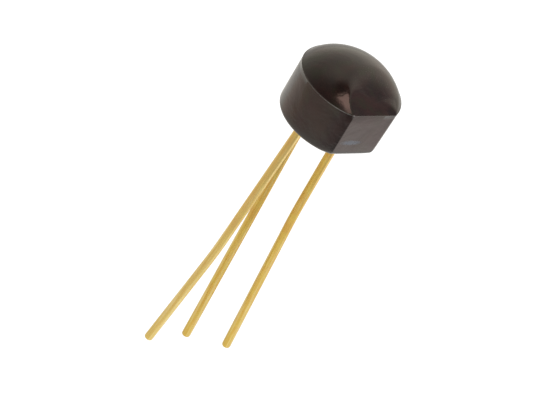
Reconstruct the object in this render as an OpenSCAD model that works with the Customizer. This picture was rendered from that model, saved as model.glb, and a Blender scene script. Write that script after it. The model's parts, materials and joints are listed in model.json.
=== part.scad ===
// Dome-topped epoxy transistor: a moulded D-shaped body on three gold-plated wire leads.
// +Z runs up through the dome, the leads hang down and the flat faces -Y.
// The origin lies on the body's axis, in the plane of its underside.

/* [Body] */
// Diameter of the body at its parting line
rim_d = 5.1; // [4.7:0.05:5.6]
// Height of the wall, from the underside to the parting line
wall_h = 2.54; // [2.3:0.02:3.2]
// Rise of the dome above the parting line
dome_rise = 1.29; // [0.9:0.01:1.8]
// Distance from the axis to the flat, at the parting line
flat_offset = 2.2; // [2:0.01:2.3]
// Slope of the facet that brings the dome down to the flat, in degrees
facet_slope = 38; // [34:0.5:42]
// Draft of the round wall, in degrees
wall_draft = 1.3; // [0.5:0.1:4]
// Draft of the flat, in degrees
flat_draft = 0.6; // [0.2:0.1:3]
// Radius of the rounded lower edge
foot_r = 0.24; // [0.1:0.01:0.4]
// How far the parting line stands proud of the wall
flash_w = 0.02; // [0.01:0.005:0.06]
// Thickness of the parting line
flash_t = 0.04; // [0.02:0.005:0.1]

/* [Leads] */
// Diameter of the lead wire
lead_d = 0.41; // [0.36:0.01:0.5]
// Diameter of the circle that the leads stand on
lead_circle_d = 2.54; // [2.3:0.02:2.8]
// Turn of the three leads about the body's axis, against its flat, in degrees
lead_turn = -5; // [-15:1:15]
// Length of wire in each lead, below the underside
lead_len = 14.3; // [13:0.05:20]
// Straight length of each lead below the underside, before its first bend
stub_len = 2.1; // [1:0.1:3]
// Length of the bevel round each cut tip
tip_bevel = 0.06; // [0.02:0.01:0.12]

/* [Emitter lead bends] */
// Lean of the emitter lead below its first bend, in degrees
emitter_lean = 2.8; // [0:0.1:8]
// Direction of that lean, in degrees from +X
emitter_dir = 148; // [-180:1:180]
// Straight run from the first bend to the knee
emitter_run = 6.3; // [1:0.1:8]
// Further bend at the knee, in degrees
emitter_knee = 2.8; // [-4:0.1:4]

/* [Collector lead bends] */
// Lean of the collector lead below its first bend, in degrees
collector_lean = 5.9; // [0:0.1:8]
// Direction of that lean, in degrees from +X
collector_dir = -62; // [-180:1:180]
// Straight run from the first bend to the knee
collector_run = 1.1; // [1:0.1:8]
// Further bend at the knee, in degrees
collector_knee = -3.3; // [-4:0.1:4]

/* [Base lead bends] */
// Lean of the base lead below its first bend, in degrees
base_lean = 2.6; // [0:0.1:8]
// Direction of that lean, in degrees from +X
base_dir = 1; // [-180:1:180]
// Straight run from the first bend to the knee
base_run = 3.5; // [1:0.1:8]
// Further bend at the knee, in degrees
base_knee = 3.4; // [-4:0.1:4]

/* [Inside] */
// Diameter of the headed inner ends of the emitter and base leads
head_d = 0.75; // [0.6:0.05:1]
// Thickness of those heads
head_t = 0.2; // [0.1:0.01:0.4]
// Height of the tops of those heads above the underside
head_top = 1.5; // [1:0.05:1.8]
// Diameter of the collector lead's die pad
pad_d = 1.1; // [1:0.05:1.4]
// Thickness of the die pad
pad_t = 0.2; // [0.1:0.01:0.4]
// Height of the die pad's top above the underside
pad_top = 1.3; // [1:0.05:1.6]
// Side of the square die
die_w = 0.5; // [0.4:0.01:0.6]
// Thickness of the die
die_t = 0.15; // [0.1:0.01:0.25]
// Distance of each bond from the die's middle, along X and along Y
bond_offset = 0.12; // [0.08:0.01:0.16]
// Diameter of the bond wires
bond_wire_d = 0.05; // [0.03:0.005:0.07]
// Rise of a bond wire's loop above its ends
loop_rise = 0.45; // [0.2:0.05:0.6]

/* [Hidden] */
$fn = 96;

rim_r = rim_d / 2;
lead_r = lead_d / 2;
body_h = wall_h + dome_rise;
// Half the size of a block that is larger than the body
reach = rim_d + body_h;

// Bearings of the leads on their circle, in degrees from +X
emitter_at = 180 + lead_turn;
collector_at = 90 + lead_turn;
base_at = lead_turn;

// Steps round the lower edge's quarter round
foot_steps = 8;

// How far a bend's knuckle stands proud of the wire
knuckle_swell = 0.004;

// Sides of a bond wire and steps along its loop
wire_sides = 8;
wire_steps = 14;

// Radius of an arc of a given rise over a half span
function arc_r(half_span, rise) = (half_span * half_span + rise * rise) / (2 * rise);

// Point on the circle of leads
function lead_point(at) = lead_circle_d / 2 * [cos(at), sin(at)];

// Body

// Where the rounded lower edge of a drafted wall starts on the underside
function foot_start(offset, draft) =
    offset - (wall_h - foot_r) * tan(draft) - foot_r / cos(draft);

// Points round that lower edge, from the underside up to the wall
function foot_round(offset, draft) = [
    for (i = [0 : foot_steps])
        let (turn = (90 - draft) * i / foot_steps)
        [foot_start(offset, draft) + foot_r * sin(turn), foot_r - foot_r * cos(turn)]
];

// Half section of the round wall, run on up past the dome
module round_section() {
    polygon(concat(
        [[0, 0]],
        foot_round(rim_r, wall_draft),
        [[rim_r + dome_rise * tan(wall_draft), body_h], [0, body_h]]
    ));
}

// Ball that the round dome is part of
module dome_ball() {
    dome_r = arc_r(rim_r, dome_rise);
    translate([0, 0, body_h - dome_r]) sphere(r = dome_r);
}

// Section across the flat: its drafted wall and the facet above it, with the far side left whole
module flat_section() {
    rise = 2 * dome_rise;
    polygon(concat(
        [[-reach, -reach], [foot_start(flat_offset, flat_draft), -reach]],
        foot_round(flat_offset, flat_draft),
        [
            [flat_offset, wall_h],
            [flat_offset - rise / tan(facet_slope), wall_h + rise],
            [-reach, wall_h + rise]
        ]
    ));
}

// Thin line of flash left where the mould halves met, round the whole D
module parting_line() {
    translate([0, 0, wall_h - flash_t / 2])
        linear_extrude(height = flash_t)
            intersection() {
                circle(r = rim_r + flash_w);
                translate([-reach, -flat_offset - flash_w]) square([2 * reach, 2 * reach]);
            }
}

// Outside of the moulding, with no inserts
module moulding() {
    intersection() {
        rotate_extrude() round_section();
        dome_ball();
        rotate([90, 0, -90]) linear_extrude(height = 2 * reach, center = true) flat_section();
    }
    parting_line();
}

module epoxy_body() {
    color([0.16, 0.12, 0.1])
        difference() {
            moulding();
            at_lead(emitter_at) headed_end(head_top, head_d, head_t);
            at_lead(collector_at) headed_end(pad_top, pad_d, pad_t);
            at_lead(base_at) headed_end(head_top, head_d, head_t);
            die_block();
            bond_wire(-1, emitter_at);
            bond_wire(1, base_at);
        }
}

// Leads

// Puts a child on the circle of leads
module at_lead(at) {
    translate(lead_point(at)) children();
}

// Straight top of a lead, from its first bend up to the head inside the body
module headed_end(top, wide, thick) {
    rotate_extrude()
        polygon([
            [0, -stub_len],
            [lead_r, -stub_len],
            [lead_r, top - thick],
            [wide / 2, top - thick],
            [wide / 2, top],
            [0, top]
        ]);
}

// Straight wire that hangs down from a bend
module run(len) {
    translate([0, 0, -len]) cylinder(r = lead_r, h = len);
}

// Last straight of a lead, down to its bevelled tip
module tip_run(len) {
    rotate_extrude()
        polygon([
            [0, 0],
            [lead_r, 0],
            [lead_r, tip_bevel - len],
            [lead_r - tip_bevel, -len],
            [0, -len]
        ]);
}

// Bend: a knuckle, and what hangs from it at an angle
module bend(angle) {
    sphere(r = lead_r + knuckle_swell);
    rotate([0, -angle, 0]) children();
}

// Wire below the first straight: a bend, a run, a knee and the last run
module lower_wire(lean, dir, middle_run, knee) {
    last_run = lead_len - stub_len - middle_run;
    translate([0, 0, -stub_len])
        rotate([0, 0, dir])
            bend(lean) {
                run(middle_run);
                translate([0, 0, -middle_run]) bend(knee) tip_run(last_run);
            }
}

module emitter_lead() {
    color([0.84, 0.68, 0.33])
        at_lead(emitter_at) {
            headed_end(head_top, head_d, head_t);
            lower_wire(emitter_lean, emitter_dir, emitter_run, emitter_knee);
        }
}

module collector_lead() {
    color([0.84, 0.68, 0.33])
        at_lead(collector_at) {
            headed_end(pad_top, pad_d, pad_t);
            lower_wire(collector_lean, collector_dir, collector_run, collector_knee);
        }
}

module base_lead() {
    color([0.84, 0.68, 0.33])
        at_lead(base_at) {
            headed_end(head_top, head_d, head_t);
            lower_wire(base_lean, base_dir, base_run, base_knee);
        }
}

// Die and its bond wires

module die_block() {
    at_lead(collector_at)
        translate([-die_w / 2, -die_w / 2, pad_top]) cube([die_w, die_w, die_t]);
}

module silicon_die() {
    color([0.35, 0.36, 0.4]) die_block();
}

// Ends of a bond wire: on the die, on the given side of its middle, and on the head of a lead
function die_end(side) = let (middle = lead_point(collector_at))
    [middle.x + side * bond_offset, middle.y - bond_offset, pad_top + die_t];
function head_end(at) = let (middle = lead_point(at)) [middle.x, middle.y, head_top];

// Point along a loop that leaves both its ends straight upwards
function loop_point(from, to, t) =
    from + (to - from) * (1 - cos(180 * t)) / 2 + [0, 0, loop_rise * sin(180 * t)];

// Way that the loop runs at that point, across the ground and upwards
function loop_way(from, to, t) =
    let (step = (to - from) * sin(180 * t) / 2)
    [norm([step.x, step.y]), step.z + loop_rise * cos(180 * t)];

// Round of points about the loop
function loop_ring(from, to, t) =
    let (
        middle = loop_point(from, to, t),
        way = loop_way(from, to, t),
        along = [to.x - from.x, to.y - from.y] / norm([to.x - from.x, to.y - from.y]),
        across = [-along.y, along.x, 0],
        over = [-along.x * way.y, -along.y * way.y, way.x] / norm(way)
    )
    [for (k = [0 : wire_sides - 1])
        let (turn = 360 * k / wire_sides)
        middle + bond_wire_d / 2 * (cos(turn) * across + sin(turn) * over)];

// Bond wire from one side of the die to the head of the lead at a given bearing
module bond_wire(side, at) {
    from = die_end(side);
    to = head_end(at);
    points = [for (i = [0 : wire_steps]) each loop_ring(from, to, i / wire_steps)];
    last = wire_sides * wire_steps;
    sides = [
        for (i = [0 : wire_steps - 1], k = [0 : wire_sides - 1])
            let (
                next = (k + 1) % wire_sides,
                low = wire_sides * i,
                high = low + wire_sides
            )
            each [[low + k, high + k, high + next], [low + k, high + next, low + next]]
    ];
    first_cap = [for (k = [0 : wire_sides - 1]) k];
    last_cap = [for (k = [wire_sides - 1 : -1 : 0]) last + k];
    polyhedron(points = points, faces = concat([first_cap], sides, [last_cap]), convexity = 4);
}

module emitter_bond_wire() {
    color([0.9, 0.75, 0.4]) bond_wire(-1, emitter_at);
}

module base_bond_wire() {
    color([0.9, 0.75, 0.4]) bond_wire(1, base_at);
}

epoxy_body();
emitter_lead();
collector_lead();
base_lead();
silicon_die();
emitter_bond_wire();
base_bond_wire();
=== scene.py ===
"""Looks of a dome-topped epoxy transistor: its moulded body, gold-plated leads and plain white stage."""

import json
import math

import bmesh
import bpy
from mathutils import Matrix, Quaternion, Vector


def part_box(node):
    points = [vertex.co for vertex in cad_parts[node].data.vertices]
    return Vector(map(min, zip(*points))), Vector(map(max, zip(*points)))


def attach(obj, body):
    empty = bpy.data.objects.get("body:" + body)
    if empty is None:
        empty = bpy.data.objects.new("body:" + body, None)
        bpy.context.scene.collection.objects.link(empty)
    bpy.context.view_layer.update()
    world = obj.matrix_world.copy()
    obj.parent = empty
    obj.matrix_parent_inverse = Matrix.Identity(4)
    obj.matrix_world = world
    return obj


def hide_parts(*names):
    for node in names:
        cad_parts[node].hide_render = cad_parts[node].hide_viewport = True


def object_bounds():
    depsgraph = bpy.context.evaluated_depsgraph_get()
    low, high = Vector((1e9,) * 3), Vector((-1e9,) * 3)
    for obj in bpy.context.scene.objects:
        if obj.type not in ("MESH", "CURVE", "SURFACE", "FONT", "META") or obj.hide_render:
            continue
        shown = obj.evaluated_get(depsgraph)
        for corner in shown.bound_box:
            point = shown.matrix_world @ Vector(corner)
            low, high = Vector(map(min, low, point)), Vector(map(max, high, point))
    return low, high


bl_info = {
    "name": "Dome-Topped Transistor",
    "version": (1, 0, 0),
    "blender": (4, 5, 0),
    "location": "View3D > Sidebar > Transistor",
    "description": "Models and finishes a small epoxy transistor on gold-plated leads",
    "category": "Object",
}

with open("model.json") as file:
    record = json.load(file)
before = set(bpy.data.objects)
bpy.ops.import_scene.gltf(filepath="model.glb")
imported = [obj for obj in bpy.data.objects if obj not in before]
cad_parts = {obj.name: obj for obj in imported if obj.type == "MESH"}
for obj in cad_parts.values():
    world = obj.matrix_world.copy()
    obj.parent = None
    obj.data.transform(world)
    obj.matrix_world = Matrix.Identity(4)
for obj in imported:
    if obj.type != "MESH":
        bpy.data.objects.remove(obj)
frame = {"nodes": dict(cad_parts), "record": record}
cad_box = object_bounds()
body_low, body_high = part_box("epoxy_body")

# Bearings of the leads on their circle, in degrees from +X
LEAD_BEARINGS = {"emitter": 180.0, "collector": 90.0, "base": 0.0}
# How much paler each lead is drawn than the rest
PALE_LEADS = {"emitter": 0.32, "collector": 0.0, "base": 0.0}
# Size of the picture in pixels
IMAGE_WIDTH = 533
IMAGE_HEIGHT = 400


def mm(value):
    """Millimetres as metres."""
    return value * 0.001


def size(name, description, default):
    """Property for a length, in metres."""
    return bpy.props.FloatProperty(
        name=name, description=description, default=default, min=0.0, precision=6, unit="LENGTH"
    )


def angle(name, description, degrees):
    """Property for an angle that is given in degrees."""
    return bpy.props.FloatProperty(
        name=name, description=description, default=math.radians(degrees), subtype="ANGLE"
    )


def colour(name, description, rgb):
    """Property for a linear colour."""
    return bpy.props.FloatVectorProperty(
        name=name, description=description, default=rgb, size=3, min=0.0, max=1.0, subtype="COLOR"
    )


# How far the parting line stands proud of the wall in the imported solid
FLASH_WIDTH = mm(0.02)


class BodySizes(bpy.types.PropertyGroup):
    """Sizes of the epoxy body."""

    rim_radius: size("Rim radius", "Radius at the parting line", body_high.x - FLASH_WIDTH)
    flat_offset: size("Flat", "Distance from the axis to the flat", -body_low.y - FLASH_WIDTH)
    height: size("Height", "Height of the whole body", body_high.z)
    wall_height: size("Wall", "Height of the wall up to the parting line", mm(2.54))
    wall_draft: angle("Wall draft", "Draft of the round wall", 1.3)
    flat_draft: angle("Flat draft", "Draft of the flat", 0.6)
    facet_slope: angle("Facet slope", "Slope of the facet between the dome and the flat", 38.0)
    foot_radius: size("Foot", "Radius of the rounded lower edge", mm(0.24))
    corner_radius: size("Corner", "Radius of the edges beside the flat", mm(0.16))
    flash_width: size("Flash width", "How far the parting line stands proud", FLASH_WIDTH)
    flash_height: size("Flash height", "Thickness of the parting line", mm(0.04))
    crease_low: size("Crease at the flat", "Softness of the facet's edge beside the flat", mm(0.03))
    crease_high: size("Crease at the top", "Softness that the facet's edge gains at its top", mm(0.32))
    crease_right: size("Crease at the right", "Softness that the facet's edge gains on its right", mm(0.12))
    flat_ease: size("Flat ease", "Height over which the flat's top edge eases back, at its left", mm(0.24))
    corner_foot: size("Corner foot", "Radius that the lower edge gains at the flat's corners", mm(0.045))
    rim_sag: size("Rim sag", "How far the rim is rubbed down at the back left", mm(0.06))


class LeadSizes(bpy.types.PropertyGroup):
    """Sizes of the leads."""

    wire_radius: size("Wire radius", "Radius of the lead wire", mm(0.205))
    circle_radius: size("Circle", "Radius of the circle that the leads stand on", mm(1.27))
    turn: angle("Turn", "Turn of the three leads against the flat", -5.0)
    emitter_stub: size("Emitter stub", "Depth of its first bend below the body", mm(0.5))
    collector_stub: size("Collector stub", "Depth of its first bend below the body", mm(0.4))
    base_stub: size("Base stub", "Depth of its first bend below the body", mm(1.9))
    bend_radius: size("Bend", "Radius of the bends, where the runs leave room for it", mm(28.0))
    tip_length: size("Tip", "Length of the tip beyond the straight run", mm(0.06))
    tip_round: size("Tip round", "Length of the rounding at the cut tip", mm(0.09))
    head_radius: size("Head", "Radius of the headed inner ends", mm(0.375))
    pad_radius: size("Die pad", "Radius of the collector's die pad", mm(0.55))
    head_height: size("Head height", "Thickness of the heads and the die pad", mm(0.2))


class Finishes(bpy.types.PropertyGroup):
    """Colours of the finishes."""

    epoxy: colour("Epoxy", "Dark brown moulding compound", (0.022, 0.0145, 0.0125))
    epoxy_warm: colour("Warm epoxy", "Redder patches of the compound", (0.044, 0.0188, 0.0150))
    epoxy_olive: colour("Olive epoxy", "Olive patches of the compound", (0.029, 0.0245, 0.0130))
    scuff: colour("Scuff", "Pale film of the smudge on the flat", (0.17, 0.20, 0.25))
    # Pale colour of the worn lines, which also stands for painted edge highlights along the parting line,
    # the flat's corner and the foot
    rubbed_and_highlight: colour("Rubbed rim", "Pale rubbed line along the parting line", (0.40, 0.38, 0.36))
    gold: colour("Gold", "Satin gold plating", (0.665, 0.505, 0.122))
    gold_deep: colour("Deep gold", "Deeper, coppery patches of the plating", (0.655, 0.415, 0.106))
    gold_pale: colour("Pale gold", "Paler streaks of the plating", (0.83, 0.69, 0.32))
    silicon: colour("Silicon", "Polished silicon", (0.10, 0.105, 0.13))
    floor: colour("Floor", "Pale studio floor", (0.8, 0.8, 0.8))


class StageSettings(bpy.types.PropertyGroup):
    """Camera and floor."""

    azimuth: angle("Azimuth", "Bearing of the camera, round from the flat", -51.35)
    elevation: angle("Elevation", "Height of the camera above the horizon", 31.88)
    roll: angle("Roll", "Lean of the part's axis to the right in the picture", 32.09)
    view_width: size("View width", "Width of what the picture takes in", mm(24.403))
    seat_right: size("Seat from left", "Distance of the part's origin from the left edge", mm(14.944))
    seat_down: size("Seat from top", "Distance of the part's origin from the top edge", mm(5.630))
    floor_drop: size("Floor", "Depth of the floor below the lead tips", mm(10.0))
    lens: bpy.props.FloatProperty(
        name="Lens", description="Focal length, long enough for a nearly parallel view",
        default=1200.0, unit="CAMERA"
    )


class TransistorSettings(bpy.types.PropertyGroup):
    """All that a user would change."""

    body: bpy.props.PointerProperty(type=BodySizes)
    leads: bpy.props.PointerProperty(type=LeadSizes)
    finishes: bpy.props.PointerProperty(type=Finishes)
    stage: bpy.props.PointerProperty(type=StageSettings)


# Mesh helpers

# Edges that turn by more than this stay sharp
SHARP_ANGLE = math.radians(40.0)


def place(loop, points):
    """Puts a loop of vertices on a ring of points."""
    for vert, point in zip(loop, points):
        vert.co = point


def extruded(vert):
    """The new vertex that an extrusion has drawn out of this one."""
    for edge in vert.link_edges:
        other = edge.other_vert(vert)
        if other.select:
            return other
    raise RuntimeError("an extrusion left a vertex behind")


def close_loop(mesh, loop, tip=None):
    """Fills a loop with a face, and draws the face's middle out to a tip."""
    bpy.ops.mesh.select_all(action="DESELECT")
    for vert in loop:
        vert.select = True
    mesh.select_flush(True)
    bpy.ops.mesh.edge_face_add()
    if tip is not None:
        bpy.ops.mesh.poke()
        ring = set(loop)
        middle = next(v for v in mesh.verts if v.select and v not in ring)
        middle.co = tip


def loft(name, rings, first_tip=None, last_tip=None):
    """Closed skin through rings of points, made by extruding a circle from ring to ring."""
    bpy.ops.object.select_all(action="DESELECT")
    bpy.ops.mesh.primitive_circle_add(vertices=len(rings[0]), radius=mm(1.0), location=(0.0, 0.0, 0.0))
    piece = bpy.context.object
    piece.name = name
    piece.data.name = name
    bpy.ops.object.mode_set(mode="EDIT")
    bpy.ops.mesh.select_all(action="SELECT")
    mesh = bmesh.from_edit_mesh(piece.data)
    first_loop = list(mesh.verts)
    loop = first_loop
    place(loop, rings[0])
    for ring in rings[1:]:
        bpy.ops.mesh.extrude_edges_move()
        loop = [extruded(vert) for vert in loop]
        place(loop, ring)
    close_loop(mesh, first_loop, first_tip)
    close_loop(mesh, loop, last_tip)
    bpy.ops.mesh.select_all(action="SELECT")
    bpy.ops.mesh.normals_make_consistent(inside=False)
    bmesh.update_edit_mesh(piece.data)
    bpy.ops.object.mode_set(mode="OBJECT")
    bpy.ops.object.shade_smooth_by_angle(angle=SHARP_ANGLE)
    return piece


def ease(value, start, end):
    """Share of the way from start to end, with a soft beginning and ending."""
    share = min(max((value - start) / (end - start), 0.0), 1.0)
    return share * share * (3.0 - 2.0 * share)


def soft_min(a, b, reach):
    """The lesser of two values, rounded over where they are within reach of each other."""
    share = max(reach - abs(a - b), 0.0) / reach
    return min(a, b) - share * share * reach / 4.0


def fade(distance, reach):
    """Share that is whole at no distance, about a third at the reach and dies away smoothly."""
    return math.exp(-(distance / reach) ** 2)


def mark(piece, name, values):
    """Stores a value for each vertex of a piece."""
    attribute = piece.data.attributes.new(name, "FLOAT", "POINT")
    attribute.data.foreach_set("value", values)


# Epoxy body

# Points round the outline, and rings up the foot, wall and dome
ROUND_POINTS = 220
CORNER_POINTS = 6
FLAT_POINTS = 48
FOOT_STEPS = 10
WALL_STEPS = 10
DOME_STEPS = 66
# Stretches of the facet's edge over which its crease softens, in degrees round from its left end
TOP_SOFTENS = (29.0, 64.0)
RIGHT_SOFTENS = (105.0, 145.0)
# Height above the rim over which that softness sets in
CREASE_RISE = mm(0.55)
# Rubbed stretch of the rim: its bearing from +X and its spread, in degrees, and its spread in height
RUBBED_BEARING = 112.0
RUBBED_SPREAD = 25.0
RUBBED_HEIGHT = mm(0.25)
# Reach of the larger foot about the flat's corners
CORNER_FOOT_REACH = mm(0.3)
# Depth behind the flat within which its top edge eases back, and twice the radius of that curve
EASE_DEPTH = mm(0.15)
EASE_ROUND = mm(1.3)
# Share of the full ease at the flat's middle, what it gains towards the left, and the least share
EASE_MIDDLE = 0.5
EASE_LEAN = 0.4
EASE_LEAST = 0.2
# Places along Y and X between which the parting line is trimmed, and the share that is trimmed off
TRIMMED_BACK = (mm(-0.2), mm(1.2))
TRIMMED_RIGHT = (mm(0.5), mm(1.3))
TRIMMED_SHARE = 0.7
# Section of the parting line: heights in half thicknesses, with shares of its width
FLASH_SECTION = ((-0.95, 0.35), (-0.8, 0.85), (-0.4, 1.0), (0.4, 1.0), (0.8, 0.85), (0.95, 0.35))
# Where the wall ends below the parting line, in half thicknesses of it
WALL_END = 1.3
# How far in the dome's first ring lies, in thicknesses of the parting line
DOME_INSET = 1.0 / 2.2
# Stretch of the rim that faces the camera and gets the most painted highlight: its bearing from +X and its
# spread, in degrees
HIGHLIGHT_BEARING = 221.0
HIGHLIGHT_SPREAD = 12.0
# Wear and painted edge highlight of the whole rim, the painted highlight that its front gains, and wear and
# painted highlight of the flat's left corner and of the foot
RIM_WEAR_AND_HIGHLIGHT = 0.45
FRONT_HIGHLIGHT = 0.55
CORNER_WEAR_AND_HIGHLIGHT = 0.8
FOOT_WEAR_AND_HIGHLIGHT = 0.2
# Depth of the rim's outer edge, widths of the worn and painted highlight lines, and the foot's line as a
# share of its radius
RIM_DEPTH = mm(0.06)
RIM_LINE = mm(0.015)
CORNER_SPOT = mm(0.08)
CORNER_LINE = mm(0.04)
FOOT_LINE = mm(0.06)
FOOT_HEIGHT = 0.3


def arc_points(middle, radius, start, end, count):
    """Points along an arc, with its first end and without its last."""
    turns = [start + (end - start) * i / count for i in range(count)]
    return [(middle[0] + radius * math.cos(t), middle[1] + radius * math.sin(t)) for t in turns]


def d_outline(round_radius, flat, corner):
    """Outline of a disc with one flat side towards -Y, with its two corners rounded."""
    corner_y = corner - flat
    corner_x = math.sqrt((round_radius - corner) ** 2 - corner_y ** 2)
    right = math.atan2(corner_y, corner_x)
    left = math.pi - right
    down = 1.5 * math.pi
    points = arc_points((0.0, 0.0), round_radius, right, left, ROUND_POINTS)
    points += arc_points((-corner_x, corner_y), corner, left, down, CORNER_POINTS)
    points += [(corner_x * (2.0 * i / FLAT_POINTS - 1.0), -flat) for i in range(FLAT_POINTS)]
    points += arc_points((corner_x, corner_y), corner, down, right + 2.0 * math.pi, CORNER_POINTS)
    return points


def crease_softness(body, x, y, height):
    """Softness of the facet's edge over a point of the plan, at a height above the rim."""
    round_edge = math.degrees(math.atan2(max(body.flat_offset + y, 0.0), -x))
    softer = body.crease_high * ease(round_edge, *TOP_SOFTENS)
    softer += body.crease_right * ease(round_edge, *RIGHT_SOFTENS)
    return body.crease_low + softer * ease(height, 0.0, CREASE_RISE)


def dome_height(body, x, y):
    """Height of the dome over a point of the plan: a ball, with a sloped facet above the flat."""
    rise = body.height - body.wall_height
    ball = (body.rim_radius ** 2 + rise ** 2) / (2.0 * rise)
    round_z = body.height - ball + math.sqrt(max(ball ** 2 - x * x - y * y, 0.0))
    facet_z = body.wall_height + (body.flat_offset + y) * math.tan(body.facet_slope)
    softness = crease_softness(body, x, y, min(round_z, facet_z) - body.wall_height)
    return soft_min(round_z, facet_z, softness)


def turn_from(x, y, degrees):
    """How far a point of the plan lies round the axis from a bearing, in degrees."""
    away = math.degrees(math.atan2(y, x)) - degrees
    return abs((away + 180.0) % 360.0 - 180.0)


def rubbed_down(body, x, y, z):
    """The point, lowered where the rim is rubbed down."""
    share = fade(turn_from(x, y, RUBBED_BEARING), RUBBED_SPREAD) * fade(z - body.wall_height, RUBBED_HEIGHT)
    return Vector((x, y, z - body.rim_sag * share))


def corner_distance(body, x, y):
    """Distance in the plan from the nearer of the flat's two corners."""
    corner_x = math.sqrt(body.rim_radius ** 2 - body.flat_offset ** 2)
    return math.hypot(abs(x) - corner_x, y + body.flat_offset)


def eased(body, low, z):
    """How far the flat's top edge has eased back at a height, more at its left than at its right."""
    if low.y > EASE_DEPTH - body.flat_offset:
        return 0.0
    share = EASE_MIDDLE - EASE_LEAN * low.x / body.flat_offset
    reach = body.flat_ease * min(max(share, EASE_LEAST), 1.0)
    into = min(max(z - body.wall_height + reach, 0.0), reach)
    return into * into / EASE_ROUND


def side_lines(body):
    """Lines up the wall: each has its low and high ends, the way inwards, its foot and its flash."""
    top = body.wall_height

    def outline(below, inset):
        """Plan of the wall at a depth below the rim, drawn in by an inset."""
        round_radius = body.rim_radius - below * math.tan(body.wall_draft) - inset
        flat = body.flat_offset - below * math.tan(body.flat_draft) - inset
        return d_outline(round_radius, flat, body.corner_radius)

    lines = []
    for low, inner, high in zip(outline(top, 0.0), outline(top, body.foot_radius), outline(0.0, 0.0)):
        low = Vector(low)
        inward = (Vector(inner) - low) / body.foot_radius
        foot = body.foot_radius + body.corner_foot * fade(corner_distance(body, *low), CORNER_FOOT_REACH)
        trimmed = max(ease(low.y, *TRIMMED_BACK), ease(low.x, *TRIMMED_RIGHT))
        flash = body.flash_width * (1.0 - TRIMMED_SHARE * trimmed)
        lines.append((low, Vector(high), inward, foot, flash))
    return lines


def body_rings(body):
    """Rings of the body, from the underside up to the top of the dome."""
    top = body.wall_height
    lines = side_lines(body)

    def ring(station):
        """Ring at the height and inset that the station gives for each line."""
        points = []
        for low, high, inward, foot, flash in lines:
            z, inset = station(foot, flash)
            inset += eased(body, low, z)
            x, y = low.lerp(high, z / top) + inset * inward
            points.append(rubbed_down(body, x, y, z))
        return points

    rings = []
    for i in range(FOOT_STEPS):
        turn = 0.5 * math.pi * i / FOOT_STEPS
        up = 1.0 - math.cos(turn)
        inset = 1.0 - math.sin(turn)
        rings.append(ring(lambda foot, flash: (foot * up, foot * inset)))
    half_flash = 0.5 * body.flash_height
    wall_top = top - WALL_END * half_flash
    for i in range(WALL_STEPS + 1):
        rings.append(ring(lambda foot, flash: (foot + (wall_top - foot) * i / WALL_STEPS, 0.0)))
    for up, out in FLASH_SECTION:
        rings.append(ring(lambda foot, flash: (top + up * half_flash, -out * flash)))
    first_share = 1.0 - DOME_INSET * body.flash_height / body.rim_radius
    for i in range(DOME_STEPS):
        share = first_share * (1.0 - i / DOME_STEPS)
        plan = d_outline(share * body.rim_radius, share * body.flat_offset, share * body.corner_radius)
        rings.append([rubbed_down(body, x, y, dome_height(body, x, y)) for x, y in plan])
    return rings


def mark_wear_and_highlight(piece, body):
    """Stores each vertex's wear and painted edge highlight: most along the front of the parting line, which
    faces the camera, and beside the flat.
    """
    values = []
    for vert in piece.data.vertices:
        x, y, z = vert.co
        below = body.wall_height - z
        rim = 0.0
        if math.hypot(x, y) > body.rim_radius - RIM_DEPTH or y < RIM_DEPTH - body.flat_offset:
            front = FRONT_HIGHLIGHT * fade(turn_from(x, y, HIGHLIGHT_BEARING), HIGHLIGHT_SPREAD)
            rim = (RIM_WEAR_AND_HIGHLIGHT + front) * fade(below, RIM_LINE)
        corner = 0.0
        if x < 0.0:
            spot = fade(corner_distance(body, x, y), CORNER_SPOT)
            corner = CORNER_WEAR_AND_HIGHLIGHT * spot * fade(below, CORNER_LINE)
        foot = FOOT_WEAR_AND_HIGHLIGHT * fade(z - FOOT_HEIGHT * body.foot_radius, FOOT_LINE)
        values.append(max(rim, corner, foot))
    mark(piece, "wear_and_highlight", values)


# Leads

# Points round the wire, and rings along each bend and run
WIRE_SIDES = 28
BEND_STEPS = 10
RUN_STEPS = 8
# Share of a run that the arc at one of its ends may take
BEND_ROOM = 0.48
# Bevel of a head as a share of its thickness, and the neck below it as a share of the wire's radius
HEAD_BEVEL = 0.15
HEAD_NECK = 0.5
# Room below a neck before the route's own rings start
NECK_ROOM = mm(0.05)
# Section of a cut tip: distances from its end in tip rounds, with shares of the wire's radius
TIP_SECTION = ((1.3, 1.0), (0.8, 0.975), (0.4, 0.91), (0.12, 0.8), (0.0, 0.66))


def pin_mount(lead):
    """Middle, direction and length of a lead's last straight run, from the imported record."""
    for mount in frame["record"]["mounts"]:
        if mount["name"] == lead + "_pin":
            return Vector(mount["pos_m"]), Vector(mount["axis"]), mm(mount["dims"]["length_mm"])
    raise RuntimeError(f"the record has no pin for the {lead} lead")


def lead_corners(lead, leads):
    """Corners of a lead's route: its top, first bend, knee and tip."""
    turn = leads.turn + math.radians(LEAD_BEARINGS[lead])
    seat = leads.circle_radius * Vector((math.cos(turn), math.sin(turn), 0.0))
    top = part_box(lead + "_lead")[1].z
    middle, way, length = pin_mount(lead)
    return [
        seat + Vector((0.0, 0.0, top)),
        seat - Vector((0.0, 0.0, getattr(leads, lead + "_stub"))),
        middle - 0.5 * length * way,
        middle + (0.5 * length + leads.tip_length) * way,
    ]


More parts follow.
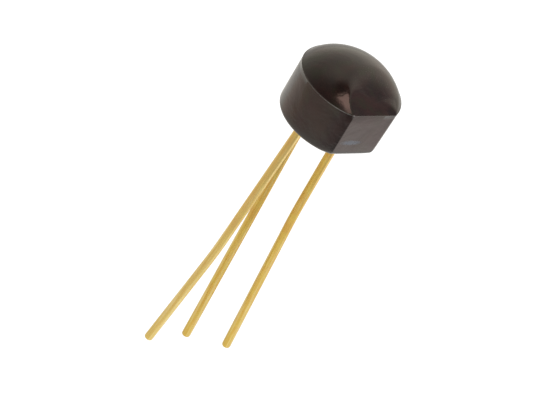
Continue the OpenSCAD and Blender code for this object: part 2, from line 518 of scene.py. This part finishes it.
def smooth_route(corners, radius):
    """Points and directions along straight runs that are joined by arcs."""
    bends = list(zip(corners, corners[1:], corners[2:]))
    for before, corner, after in bends:
        turn = (corner - before).angle(after - corner)
        room = BEND_ROOM * min((corner - before).length, (after - corner).length)
        radius = min(radius, room / math.tan(0.5 * turn))
    route = []
    start = corners[0]
    for before, corner, after in bends:
        way_in = (corner - before).normalized()
        way_out = (after - corner).normalized()
        turn = way_in.angle(way_out)
        cut = radius * math.tan(0.5 * turn)
        arc_start = corner - cut * way_in
        route += [(start.lerp(arc_start, i / RUN_STEPS), way_in) for i in range(RUN_STEPS)]
        axis = way_in.cross(way_out).normalized()
        centre = arc_start + radius * axis.cross(way_in)
        for i in range(BEND_STEPS):
            swing = Quaternion(axis, turn * i / BEND_STEPS)
            route.append((centre + swing @ (arc_start - centre), swing @ way_in))
        start = corner + cut * way_out
    way = (corners[-1] - start).normalized()
    route += [(start.lerp(corners[-1], i / RUN_STEPS), way) for i in range(RUN_STEPS + 1)]
    return route


def lead_rings(route, leads, head_radius):
    """Rings of a lead, the place of each point on the wire before it was bent, and the wire's length."""
    wire = leads.wire_radius
    top, down = route[0]
    tip_point, tip_way = route[-1]
    bevel = HEAD_BEVEL * leads.head_height
    head_end = leads.head_height + HEAD_NECK * wire
    head_section = (
        (0.0, head_radius - bevel),
        (bevel, head_radius),
        (leads.head_height - bevel, head_radius),
        (leads.head_height, head_radius - bevel),
        (leads.head_height, wire + bevel),
        (head_end, wire),
    )
    stations = [(top + deep * down, down, radius) for deep, radius in head_section]
    stations += [(p, way, wire) for p, way in route[1:-1] if (p - top).length > head_end + NECK_ROOM]
    for back, share in TIP_SECTION:
        stations.append((tip_point - back * leads.tip_round * tip_way, tip_way, share * wire))
    turns = [2.0 * math.pi * k / WIRE_SIDES for k in range(WIRE_SIDES)]
    rings = []
    straight = []
    side = Vector((1.0, 0.0, 0.0))
    last_way = down
    last_point = top
    along = 0.0
    for point, way, radius in stations:
        side = last_way.rotation_difference(way) @ side
        across = way.cross(side)
        along += (point - last_point).length
        rings.append([point + radius * (math.cos(t) * side + math.sin(t) * across) for t in turns])
        straight += [(radius * math.cos(t), radius * math.sin(t), along) for t in turns]
        last_way = way
        last_point = point
    return rings, straight, along


def mark_straight(piece, straight, length):
    """Stores each vertex's place on the wire as it was before it was bent, for the drawn streaks."""
    ends = [(0.0, 0.0, 0.0), (0.0, 0.0, length)]
    points = straight + ends
    if len(points) != len(piece.data.vertices):
        raise RuntimeError("a lead has lost count of its vertices")
    attribute = piece.data.attributes.new("straight", "FLOAT_VECTOR", "POINT")
    attribute.data.foreach_set("vector", [value for point in points for value in point])


# Material helpers


def new_material(name):
    """New material, with its node tree and its Principled shader."""
    material = bpy.data.materials.new(name)
    material.use_nodes = True
    shader = material.node_tree.nodes["Principled BSDF"]
    return material, material.node_tree, shader


def add_node(tree, kind, at, **settings):
    """Node of a kind at a place in the tree, with its settings."""
    node = tree.nodes.new(kind)
    node.location = at
    for name, value in settings.items():
        setattr(node, name, value)
    return node


def set_inputs(node, **values):
    """Sets sockets by name, with underscores for the spaces."""
    for name, value in values.items():
        node.inputs[name.replace("_", " ")].default_value = value


def plug(tree, socket, value):
    """Links a node's output to a socket, or sets the socket to a number or a colour."""
    if isinstance(value, bpy.types.NodeSocket):
        tree.links.new(value, socket)
    elif socket.type == "RGBA":
        socket.default_value = (*value, 1.0)
    else:
        socket.default_value = value


def add_mix(tree, at, factor, first, second):
    """Mix of two colours, each a plain colour or the output of a node."""
    node = add_node(tree, "ShaderNodeMix", at, data_type="RGBA")
    plug(tree, node.inputs[0], factor)
    plug(tree, node.inputs[6], first)
    plug(tree, node.inputs[7], second)
    return node.outputs[2]


def add_range(tree, at, value, low, high, to_low, to_high, way="SMOOTHSTEP"):
    """Value brought from one range to another, smoothly or in a straight line."""
    node = add_node(tree, "ShaderNodeMapRange", at, interpolation_type=way)
    for socket, limit in zip(node.inputs, (value, low, high, to_low, to_high)):
        plug(tree, socket, limit)
    return node.outputs["Result"]


def add_math(tree, at, operation, *values):
    """Sum, product or the like of values, each a number or the output of a node."""
    node = add_node(tree, "ShaderNodeMath", at, operation=operation)
    for socket, value in zip(node.inputs, values):
        plug(tree, socket, value)
    return node.outputs[0]


def add_bump(tree, at, height, distance, strength, normal=None):
    """Relief from a height, over another relief if one is given."""
    node = add_node(tree, "ShaderNodeBump", at)
    set_inputs(node, Distance=distance, Strength=strength)
    tree.links.new(height, node.inputs["Height"])
    if normal is not None:
        tree.links.new(normal, node.inputs["Normal"])
    return node.outputs["Normal"]


def add_choice(tree, at, factor, first, second):
    """The first shader where the factor is 0, and the second where it is 1."""
    node = add_node(tree, "ShaderNodeMixShader", at)
    for socket, value in zip(node.inputs, (factor, first, second)):
        tree.links.new(value, socket)
    return node.outputs["Shader"]


def add_ray_kinds(tree, at):
    """Whether a ray comes from the camera, and whether it comes from gloss or glass."""
    path = add_node(tree, "ShaderNodeLightPath", at)
    glossy = path.outputs["Is Glossy Ray"]
    through = path.outputs["Is Transmission Ray"]
    mirrored = add_math(tree, (at[0] + 200, at[1]), "MAXIMUM", glossy, through)
    return path.outputs["Is Camera Ray"], mirrored


def mottle_group():
    """Shared effect: broad cloudy mottling and fine grain, as two masks and a height."""
    name = "mottle_and_grain"
    group = bpy.data.node_groups.get(name)
    if group is not None:
        return group
    group = bpy.data.node_groups.new(name, "ShaderNodeTree")
    sockets = group.interface
    sockets.new_socket("Vector", in_out="INPUT", socket_type="NodeSocketVector")
    for label, default in (("Cloud Scale", 900.0), ("Grain Scale", 9000.0), ("Contrast", 0.5)):
        socket = sockets.new_socket(label, in_out="INPUT", socket_type="NodeSocketFloat")
        socket.default_value = default
    for label in ("Cloud", "Grain", "Height"):
        sockets.new_socket(label, in_out="OUTPUT", socket_type="NodeSocketFloat")
    entry = add_node(group, "NodeGroupInput", (-700, 0)).outputs
    leave = add_node(group, "NodeGroupOutput", (500, 0)).inputs
    noises = []
    for label, level in (("Cloud Scale", 160), ("Grain Scale", -160)):
        noise = add_node(group, "ShaderNodeTexNoise", (-450, level))
        plug(group, noise.inputs["Vector"], entry["Vector"])
        plug(group, noise.inputs["Scale"], entry[label])
        noises.append(noise)
    set_inputs(noises[0], Detail=4.0, Roughness=0.55, Distortion=0.4)
    set_inputs(noises[1], Detail=3.0, Roughness=0.6)
    cloud, grain = (noise.outputs["Fac"] for noise in noises)
    low = add_math(group, (-450, 400), "MULTIPLY_ADD", entry["Contrast"], -0.35, 0.5)
    high = add_math(group, (-250, 400), "SUBTRACT", 1.0, low)
    plug(group, leave["Cloud"], add_range(group, (0, 160), cloud, low, high, 0.0, 1.0))
    plug(group, leave["Grain"], grain)
    plug(group, leave["Height"], add_math(group, (200, -160), "MULTIPLY_ADD", cloud, 0.35, grain))
    return group


def add_mottle(tree, at, vector, cloud_scale, grain_scale, contrast):
    """The shared mottling, placed in a material with its own values."""
    node = add_node(tree, "ShaderNodeGroup", at, node_tree=mottle_group())
    set_inputs(node, Cloud_Scale=cloud_scale, Grain_Scale=grain_scale, Contrast=contrast)
    tree.links.new(vector, node.inputs["Vector"])
    return node


# Materials

# Mapping of the smudge on the flat, 1.7 mm wide and 0.4 mm high, 0.45 mm left of its middle and 0.84 mm up
SMUDGE_PLACE = (0.53, 0.0, -4.2)
SMUDGE_SCALE = (1180.0, 1.0, 5000.0)
# Places along Y between which the smudge sets in
SMUDGE_DEPTH = (mm(-2.10), mm(-2.15))
# Mapping of the streaks that drawing has left along the wire
STREAK_SCALE = (1.0, 1.0, 0.045)


def epoxy_material(finishes):
    """Glossy dark brown moulding compound, mottled, with worn edges that also carry painted highlights, and
    a pale smudge on the flat.
    """
    material, tree, shader = new_material("epoxy")
    place_on = add_node(tree, "ShaderNodeTexCoord", (-1500, 0)).outputs["Object"]
    mottle = add_mottle(tree, (-1200, 200), place_on, 700.0, 14000.0, 0.55)
    wear_and_highlight = add_node(tree, "ShaderNodeAttribute", (-1200, -200), attribute_name="wear_and_highlight").outputs["Fac"]
    base = add_mix(tree, (-700, 300), mottle.outputs["Cloud"], finishes.epoxy, finishes.epoxy_warm)
    blotches = add_mottle(tree, (-1200, 500), place_on, 1300.0, 5000.0, 0.75)
    olive = add_range(tree, (-700, 600), blotches.outputs["Cloud"], 0.42, 1.0, 0.0, 0.85)
    base = add_mix(tree, (-500, 400), olive, base, finishes.epoxy_olive)

    smudge_place = add_node(tree, "ShaderNodeMapping", (-1200, -500), vector_type="POINT")
    smudge_place.inputs["Location"].default_value = SMUDGE_PLACE
    smudge_place.inputs["Scale"].default_value = SMUDGE_SCALE
    tree.links.new(place_on, smudge_place.inputs["Vector"])
    blob = add_node(tree, "ShaderNodeTexGradient", (-1000, -500), gradient_type="SPHERICAL")
    tree.links.new(smudge_place.outputs["Vector"], blob.inputs["Vector"])
    parts = add_node(tree, "ShaderNodeSeparateXYZ", (-1000, -700))
    tree.links.new(place_on, parts.inputs["Vector"])
    on_flat = add_range(tree, (-800, -700), parts.outputs["Y"], *SMUDGE_DEPTH, 0.0, 1.0)
    broken = add_math(tree, (-800, -500), "MULTIPLY", blob.outputs["Fac"], mottle.outputs["Grain"])
    smudge = add_math(tree, (-600, -500), "MULTIPLY", broken, on_flat)
    smudge = add_range(tree, (-450, -500), smudge, 0.04, 0.34, 0.0, 0.95)

    # Worn lines, which also stand for painted edge highlights along the parting line, the flat's corner and
    # the foot
    worn_and_highlit = add_math(tree, (-900, -200), "MULTIPLY", wear_and_highlight, mottle.outputs["Grain"])
    worn_and_highlit = add_range(tree, (-700, -200), worn_and_highlit, 0.05, 0.42, 0.0, 0.95)
    film = add_range(tree, (-450, -350), smudge, 0.0, 1.0, 0.0, 0.2, "LINEAR")
    dust_and_highlight = add_math(tree, (-450, -200), "MAXIMUM", worn_and_highlit, film)
    base = add_mix(tree, (-350, 300), worn_and_highlit, base, finishes.rubbed_and_highlight)
    base = add_mix(tree, (-250, 200), smudge, base, finishes.scuff)
    tree.links.new(base, shader.inputs["Base Color"])
    gloss = add_range(tree, (-700, 0), mottle.outputs["Cloud"], 0.0, 1.0, 0.13, 0.19)
    rough = add_math(tree, (-250, 0), "ADD", gloss, dust_and_highlight)
    tree.links.new(rough, shader.inputs["Roughness"])
    waves = add_bump(tree, (-450, -800), mottle.outputs["Cloud"], mm(0.007), 1.0)
    relief = add_bump(tree, (-250, -400), mottle.outputs["Grain"], mm(0.0007), 1.0, waves)
    tree.links.new(relief, shader.inputs["Normal"])
    set_inputs(shader, IOR=1.55)
    return material


def gold_material(name, finishes, along_wire):
    """Satin gold with streaks along a lead's wire or upwards, deeper patches and pale rubbed lines."""
    material, tree, shader = new_material(name)
    if along_wire:
        straight = add_node(tree, "ShaderNodeAttribute", (-1500, 0), attribute_name="straight")
        place_on = straight.outputs["Vector"]
    else:
        place_on = add_node(tree, "ShaderNodeTexCoord", (-1500, 0)).outputs["Object"]
    drawn = add_node(tree, "ShaderNodeMapping", (-1300, -200))
    drawn.inputs["Scale"].default_value = STREAK_SCALE
    tree.links.new(place_on, drawn.inputs["Vector"])
    streaks = add_mottle(tree, (-1050, -200), drawn.outputs["Vector"], 7000.0, 26000.0, 0.7)
    patches = add_mottle(tree, (-1050, 200), place_on, 1500.0, 12000.0, 0.7)
    base = add_mix(tree, (-700, 300), patches.outputs["Cloud"], finishes.gold_deep, finishes.gold)
    lines = add_range(tree, (-700, 0), streaks.outputs["Cloud"], 0.45, 1.0, 0.0, 0.6)
    paler = add_node(tree, "ShaderNodeAttribute", (-900, 0), attribute_name="pale").outputs["Fac"]
    pale = add_math(tree, (-550, 0), "ADD", lines, paler)
    base = add_mix(tree, (-400, 200), pale, base, finishes.gold_pale)
    tree.links.new(base, shader.inputs["Base Color"])
    satin = add_range(tree, (-700, -200), streaks.outputs["Grain"], 0.25, 0.75, 0.30, 0.44)
    tree.links.new(satin, shader.inputs["Roughness"])
    grooved = add_bump(tree, (-400, -400), streaks.outputs["Height"], mm(0.004), 0.5)
    pitted = add_bump(tree, (-200, -400), patches.outputs["Grain"], mm(0.002), 0.4, grooved)
    tree.links.new(pitted, shader.inputs["Normal"])
    set_inputs(shader, Metallic=1.0)
    return material


def silicon_material(finishes):
    """Polished silicon, faintly blue, with a fine sawn grain."""
    material, tree, shader = new_material("silicon")
    place_on = add_node(tree, "ShaderNodeTexCoord", (-1200, 0)).outputs["Object"]
    mottle = add_mottle(tree, (-900, 0), place_on, 4000.0, 40000.0, 0.5)
    lighter = tuple(1.6 * value for value in finishes.silicon)
    base = add_mix(tree, (-500, 200), mottle.outputs["Cloud"], finishes.silicon, lighter)
    tree.links.new(base, shader.inputs["Base Color"])
    polish = add_range(tree, (-500, -100), mottle.outputs["Grain"], 0.3, 0.7, 0.12, 0.24)
    tree.links.new(polish, shader.inputs["Roughness"])
    relief = add_bump(tree, (-500, -350), mottle.outputs["Height"], mm(0.0005), 0.3)
    tree.links.new(relief, shader.inputs["Normal"])
    set_inputs(shader, Metallic=0.6)
    return material


# Share of the floor's own colour in its matte shade, and its glow for the camera
FLOOR_SHADE = 0.6
FLOOR_GLOW = 0.8
# Distances from the axis between which the near painted reflection of the floor gives way to the far one
FAR_STARTS = (mm(34.0), mm(39.0))
# Distances between which the floor's painted reflection weakens, and its strengths before and after
MIRROR_FADES = (mm(38.0), mm(46.0))
MIRROR_STRENGTHS = (1.15, 0.8)
# Painted light and shade that gloss sees on the floor, a painted pool of light and painted shade round the
# part, as colours by the bearing round from the flat in degrees
NEAR_FLOOR_PAINTED_LIGHT = (
    (-180.0, (0.78, 0.74, 0.66)), (-130.0, (0.84, 0.80, 0.72)), (-90.0, (0.90, 0.86, 0.78)),
    (-51.0, (0.93, 0.89, 0.81)), (0.0, (0.97, 0.94, 0.88)), (40.0, (1.0, 0.98, 0.94)),
    (80.0, (0.98, 0.96, 0.92)), (130.0, (0.82, 0.78, 0.70)),
)
FAR_FLOOR_PAINTED_LIGHT = (
    (-176.0, (1.08, 1.04, 0.97)), (-165.0, (1.10, 0.95, 0.83)), (-145.0, (1.02, 0.84, 0.74)),
    (-125.0, (0.82, 0.64, 0.51)), (-105.0, (0.68, 0.51, 0.47)), (-85.0, (0.73, 0.57, 0.49)),
    (-65.0, (0.73, 0.61, 0.52)), (-50.0, (0.67, 0.57, 0.49)), (-38.0, (0.53, 0.45, 0.44)),
    (-25.0, (0.32, 0.26, 0.26)), (-8.0, (0.22, 0.20, 0.20)), (14.0, (0.30, 0.28, 0.28)),
    (35.0, (1.20, 1.05, 1.00)), (52.0, (1.57, 1.37, 1.30)), (80.0, (1.15, 1.05, 1.00)),
    (110.0, (0.90, 0.87, 0.80)), (150.0, (0.85, 0.82, 0.75)),
)


def add_sweep(tree, at, place_on, stops):
    """Colour that changes round the axis, from stops of bearing and colour."""
    turn = add_node(tree, "ShaderNodeTexGradient", at, gradient_type="RADIAL")
    tree.links.new(place_on, turn.inputs["Vector"])
    ramp = add_node(tree, "ShaderNodeValToRGB", (at[0] + 200, at[1]))
    tree.links.new(turn.outputs["Fac"], ramp.inputs["Fac"])
    elements = ramp.color_ramp.elements
    shades = sorted(((degrees + 90.0) / 360.0 % 1.0, Vector(rgb)) for degrees, rgb in stops)
    first_at, first_rgb = shades[0]
    last_at, last_rgb = shades[-1]
    seam = last_rgb.lerp(first_rgb, (1.0 - last_at) / (1.0 - last_at + first_at))
    for element in elements:
        element.color = (*seam, 1.0)
    for position, rgb in shades:
        elements.new(position).color = (*rgb, 1.0)
    return ramp.outputs["Color"]


def floor_material(finishes):
    """Pale floor that reads as white and keeps the part's shadow, shows gloss a painted pool of light and
    painted shade, and is clear from below.
    """
    material = bpy.data.materials.new("floor")
    material.use_nodes = True
    tree = material.node_tree
    tree.nodes.clear()
    links = tree.links
    matte = add_node(tree, "ShaderNodeBsdfDiffuse", (-200, 200))
    matte.inputs["Color"].default_value = (*(FLOOR_SHADE * value for value in finishes.floor), 1.0)
    glow = add_node(tree, "ShaderNodeEmission", (-200, 0))
    set_inputs(glow, Color=(1.0, 1.0, 1.0, 1.0), Strength=FLOOR_GLOW)
    lit = add_node(tree, "ShaderNodeAddShader", (0, 100))
    links.new(matte.outputs["BSDF"], lit.inputs[0])
    links.new(glow.outputs["Emission"], lit.inputs[1])

    place_on = add_node(tree, "ShaderNodeTexCoord", (-1400, -300)).outputs["Object"]
    # Painted reflection of the floor: painted light and shade that only gloss sees, near the part and
    # farther off
    near = add_sweep(tree, (-1100, -300), place_on, NEAR_FLOOR_PAINTED_LIGHT)
    far = add_sweep(tree, (-1100, -600), place_on, FAR_FLOOR_PAINTED_LIGHT)
    across = add_node(tree, "ShaderNodeVectorMath", (-1250, -900), operation="MULTIPLY")
    across.inputs[1].default_value = (1.0, 1.0, 0.0)
    links.new(place_on, across.inputs[0])
    away = add_node(tree, "ShaderNodeVectorMath", (-1100, -900), operation="LENGTH")
    links.new(across.outputs["Vector"], away.inputs[0])
    distance = away.outputs["Value"]
    distant = add_range(tree, (-900, -900), distance, *FAR_STARTS, 0.0, 1.0)
    fading = add_range(tree, (-600, -700), distance, *MIRROR_FADES, *MIRROR_STRENGTHS, "LINEAR")
    painted_reflection = add_node(tree, "ShaderNodeEmission", (-200, -300))
    links.new(add_mix(tree, (-600, -400), distant, near, far), painted_reflection.inputs["Color"])
    links.new(fading, painted_reflection.inputs["Strength"])

    eye, mirrored = add_ray_kinds(tree, (-200, 500))
    under = add_node(tree, "ShaderNodeNewGeometry", (300, 400)).outputs["Backfacing"]
    clear = add_node(tree, "ShaderNodeBsdfTransparent", (300, -200)).outputs["BSDF"]
    shader = add_choice(tree, (200, 100), eye, matte.outputs["BSDF"], lit.outputs["Shader"])
    shader = add_choice(tree, (400, 100), mirrored, shader, painted_reflection.outputs["Emission"])
    shader = add_choice(tree, (600, 100), under, shader, clear)
    output = add_node(tree, "ShaderNodeOutputMaterial", (900, 100))
    links.new(shader, output.inputs["Surface"])
    return material


# Stage

# Far limit of the camera's sight
CAMERA_REACH = 100.0
# Sides and radius of the round floor
FLOOR_SIDES = 96
FLOOR_RADIUS = 1.5
# Strength of the surround's even light
EVEN_LIGHT = 0.48
# What gloss mirrors of the surround: a warm white, and shades that are laid over it in turn. Each has the
# bearing and height of its middle, the angles from there where it starts to fade and is gone, all in
# degrees, and its colour.
SURROUND = (1.04, 0.99, 0.86)
SHADES = (
    ((40.0, 15.0), (30.0, 47.0), (0.23, 0.20, 0.24)),
    ((-84.0, 28.0), (22.0, 118.0), (0.05, 0.05, 0.05)),
    ((-172.0, 64.0), (3.0, 26.0), (0.72, 0.69, 0.58)),
    ((-57.0, 71.0), (12.0, 23.0), (0.0, 0.0, 0.0)),
)
# Lamp that the dome mirrors beside its facet: it is laid over the rest like a shade, and straight edges
# cut it off. Each edge has the bearings and heights of two of its points, and its softness.
LAMP = ((-36.0, 62.0), (14.0, 33.0), (3.1, 2.0, 1.70))
LAMP_EDGES = (
    ((-63.0, 55.0), (-19.0, 40.0), 0.03),
    ((-3.0, 43.0), (-38.0, 72.0), 0.02),
    ((-45.0, 71.0), (-66.0, 58.0), 0.03),
)


def direction(azimuth, elevation):
    """Unit direction at a bearing round from -Y and a height above the horizon."""
    flat = math.cos(elevation)
    return Vector((math.sin(azimuth) * flat, -math.cos(azimuth) * flat, math.sin(elevation)))


def bearing(azimuth_degrees, elevation_degrees):
    """The same direction from degrees."""
    return direction(math.radians(azimuth_degrees), math.radians(elevation_degrees))


def add_camera(stage):
    """Camera at the photograph's view, with the picture's lean."""
    back = direction(stage.azimuth, stage.elevation)
    level_right = Vector((0.0, 0.0, 1.0)).cross(back).normalized()
    level_up = back.cross(level_right)
    right = math.cos(stage.roll) * level_right + math.sin(stage.roll) * level_up
    up = math.cos(stage.roll) * level_up - math.sin(stage.roll) * level_right
    view_height = stage.view_width * IMAGE_HEIGHT / IMAGE_WIDTH
    aim = (0.5 * stage.view_width - stage.seat_right) * right
    aim += (stage.seat_down - 0.5 * view_height) * up
    data = bpy.data.cameras.new("camera")
    data.lens = stage.lens
    data.clip_end = CAMERA_REACH
    camera = bpy.data.objects.new("camera", data)
    bpy.context.scene.collection.objects.link(camera)
    distance = stage.view_width * data.lens / data.sensor_width
    turn = Matrix((right, up, back)).transposed().to_4x4()
    camera.matrix_world = Matrix.Translation(aim + distance * back) @ turn
    bpy.context.scene.camera = camera


def add_panel_light(name, towards, distance, width, height, power, tint):
    """Soft panel light on a bearing from the part's middle, facing it."""
    data = bpy.data.lights.new(name, "AREA")
    data.shape = "RECTANGLE"
    data.size = width
    data.size_y = height
    data.energy = power
    data.color = tint
    light = bpy.data.objects.new(name, data)
    light.location = distance * towards
    light.rotation_mode = "QUATERNION"
    light.rotation_quaternion = towards.to_track_quat("Z", "Y")
    light.visible_camera = False
    bpy.context.scene.collection.objects.link(light)
    return light


def add_agreement(tree, at, around, towards):
    """How far each direction of the surround agrees with one direction."""
    node = add_node(tree, "ShaderNodeVectorMath", at, operation="DOT_PRODUCT")
    tree.links.new(around, node.inputs[0])
    node.inputs[1].default_value = towards
    return node.outputs["Value"]


def add_round_mask(tree, at, around, middle, fading):
    """Mask of a round stretch of the surround, from its middle and the angles between which it fades."""
    agreement = add_agreement(tree, at, around, bearing(*middle))
    away = add_math(tree, (at[0] + 200, at[1]), "ARCCOSINE", agreement)
    angles = [math.radians(degrees) for degrees in fading]
    return add_range(tree, (at[0] + 400, at[1]), away, *angles, 1.0, 0.0, "LINEAR")


def add_edge_mask(tree, at, around, first, second, soft):
    """Mask of what lies right of an edge from one point to another, as the part sees them."""
    across = bearing(*first).cross(bearing(*second)).normalized()
    agreement = add_agreement(tree, at, around, across)
    return add_range(tree, (at[0] + 200, at[1]), agreement, -soft, soft, 0.0, 1.0)


def add_gloss_picture(tree):
    """Colours of the surround that gloss mirrors: the white, its shades and the lamp."""
    around = add_node(tree, "ShaderNodeTexCoord", (-1200, 0)).outputs["Generated"]
    picture = SURROUND
    for row, (middle, fading, rgb) in enumerate(SHADES):
        mask = add_round_mask(tree, (-900, 700 - 200 * row), around, middle, fading)
        picture = add_mix(tree, (-300 + 150 * row, 300), mask, picture, rgb)
    middle, fading, rgb = LAMP
    lamp = add_round_mask(tree, (-900, -200), around, middle, fading)
    for row, edge in enumerate(LAMP_EDGES):
        mask = add_edge_mask(tree, (-900, -400 - 200 * row), around, *edge)
        lamp = add_math(tree, (-300 + 150 * row, -300), "MULTIPLY", lamp, mask)
    return add_mix(tree, (350, 100), lamp, picture, rgb)


def add_world():
    """Surround: white to the camera, an even light on the part, and a picture of its own for gloss."""
    world = bpy.data.worlds.new("studio")
    world.use_nodes = True
    tree = world.node_tree
    tree.nodes.clear()
    backgrounds = []
    for row, strength in enumerate((EVEN_LIGHT, 1.0, 1.0)):
        background = add_node(tree, "ShaderNodeBackground", (600, 300 - 200 * row))
        set_inputs(background, Color=(1.0, 1.0, 1.0, 1.0), Strength=strength)
        backgrounds.append(background)
    light, gloss, white = backgrounds
    tree.links.new(add_gloss_picture(tree), gloss.inputs["Color"])
    eye, mirrored = add_ray_kinds(tree, (600, 600))
    shader = add_choice(tree, (900, 200), mirrored, light.outputs[0], gloss.outputs[0])
    shader = add_choice(tree, (1100, 0), eye, shader, white.outputs[0])
    output = add_node(tree, "ShaderNodeOutputWorld", (1300, 0))
    tree.links.new(shader, output.inputs["Surface"])
    bpy.context.scene.world = world


def add_floor(stage, finishes):
    """Round floor below the lead tips."""
    level = cad_box[0].z - stage.floor_drop
    bpy.ops.object.select_all(action="DESELECT")
    bpy.ops.mesh.primitive_circle_add(
        vertices=FLOOR_SIDES, radius=FLOOR_RADIUS, fill_type="NGON", location=(0.0, 0.0, level)
    )
    floor = bpy.context.object
    floor.name = "floor"
    bpy.ops.object.transform_apply(location=True, rotation=True, scale=True)
    floor.data.materials.append(floor_material(finishes))


# Operators


class TRANSISTOR_OT_epoxy_body(bpy.types.Operator):
    """Models the moulded body: drafted wall, rounded foot, parting line, dome and facet"""

    bl_idname = "transistor.epoxy_body"
    bl_label = "Epoxy Body"
    bl_options = {"REGISTER", "UNDO"}

    def execute(self, context):
        settings = context.scene.transistor
        body = settings.body
        top = Vector((0.0, 0.0, dome_height(body, 0.0, 0.0)))
        piece = loft("moulded_body", body_rings(body), None, top)
        mark_wear_and_highlight(piece, body)
        piece.data.materials.append(epoxy_material(settings.finishes))
        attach(piece, "root")
        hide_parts("epoxy_body")
        return {"FINISHED"}


class TRANSISTOR_OT_leads(bpy.types.Operator):
    """Models the three gold-plated leads, from their heads inside the body to their cut tips"""

    bl_idname = "transistor.leads"
    bl_label = "Leads"
    bl_options = {"REGISTER", "UNDO"}

    def execute(self, context):
        settings = context.scene.transistor
        leads = settings.leads
        plating = gold_material("gold_plating", settings.finishes, along_wire=True)
        for lead in LEAD_BEARINGS:
            route = smooth_route(lead_corners(lead, leads), leads.bend_radius)
            head_radius = leads.pad_radius if lead == "collector" else leads.head_radius
            rings, straight, length = lead_rings(route, leads, head_radius)
            piece = loft(lead + "_wire", rings, route[0][0], route[-1][0])
            mark_straight(piece, straight, length)
            mark(piece, "pale", [PALE_LEADS[lead]] * len(piece.data.vertices))
            piece.data.materials.append(plating)
            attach(piece, "root")
            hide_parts(lead + "_lead")
        return {"FINISHED"}


class TRANSISTOR_OT_die(bpy.types.Operator):
    """Finishes the silicon die and its bond wires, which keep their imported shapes"""

    bl_idname = "transistor.die"
    bl_label = "Die and Bond Wires"
    bl_options = {"REGISTER", "UNDO"}

    def execute(self, context):
        finishes = context.scene.transistor.finishes
        bond = gold_material("bond_gold", finishes, along_wire=False)
        looks = {
            "silicon_die": silicon_material(finishes),
            "emitter_bond_wire": bond,
            "base_bond_wire": bond,
        }
        for node, material in looks.items():
            data = frame["nodes"][node].data
            data.materials.clear()
            data.materials.append(material)
        return {"FINISHED"}


class TRANSISTOR_OT_stage(bpy.types.Operator):
    """Sets the camera, the floor and the soft white light"""

    bl_idname = "transistor.stage"
    bl_label = "Stage"
    bl_options = {"REGISTER", "UNDO"}

    def execute(self, context):
        settings = context.scene.transistor
        context.scene.view_settings.view_transform = "Standard"
        add_camera(settings.stage)
        add_floor(settings.stage, settings.finishes)
        add_world()
        key = add_panel_light(
            "key_panel", bearing(95.0, 48.0), distance=0.30, width=0.16, height=0.16, power=0.45,
            tint=(1.0, 0.99, 0.97)
        )
        key.visible_glossy = False
        return {"FINISHED"}


class TRANSISTOR_PT_parts(bpy.types.Panel):
    """Lists the parts of the transistor and its stage"""

    bl_label = "Transistor"
    bl_space_type = "VIEW_3D"
    bl_region_type = "UI"
    bl_category = "Transistor"

    def draw(self, context):
        layout = self.layout
        settings = context.scene.transistor
        for operator, group in PARTS:
            layout.operator(operator.bl_idname)
            for name in settings.bl_rna.properties[group].fixed_type.properties.keys():
                if name not in ("rna_type", "name"):
                    layout.prop(getattr(settings, group), name)


PARTS = (
    (TRANSISTOR_OT_epoxy_body, "body"),
    (TRANSISTOR_OT_leads, "leads"),
    (TRANSISTOR_OT_die, "finishes"),
    (TRANSISTOR_OT_stage, "stage"),
)

CLASSES = (
    BodySizes,
    LeadSizes,
    Finishes,
    StageSettings,
    TransistorSettings,
    *(operator for operator, group in PARTS),
    TRANSISTOR_PT_parts,
)


def register():
    """Adds the classes and the scene's settings."""
    for item in CLASSES:
        bpy.utils.register_class(item)
    bpy.types.Scene.transistor = bpy.props.PointerProperty(type=TransistorSettings)


def unregister():
    """Takes the settings and the classes away again."""
    del bpy.types.Scene.transistor
    for item in reversed(CLASSES):
        bpy.utils.unregister_class(item)


def main():
    """Builds the stage and then the parts."""
    register()
    bpy.ops.transistor.stage()
    bpy.ops.transistor.epoxy_body()
    bpy.ops.transistor.leads()
    bpy.ops.transistor.die()


if __name__ == "__main__":
    main()
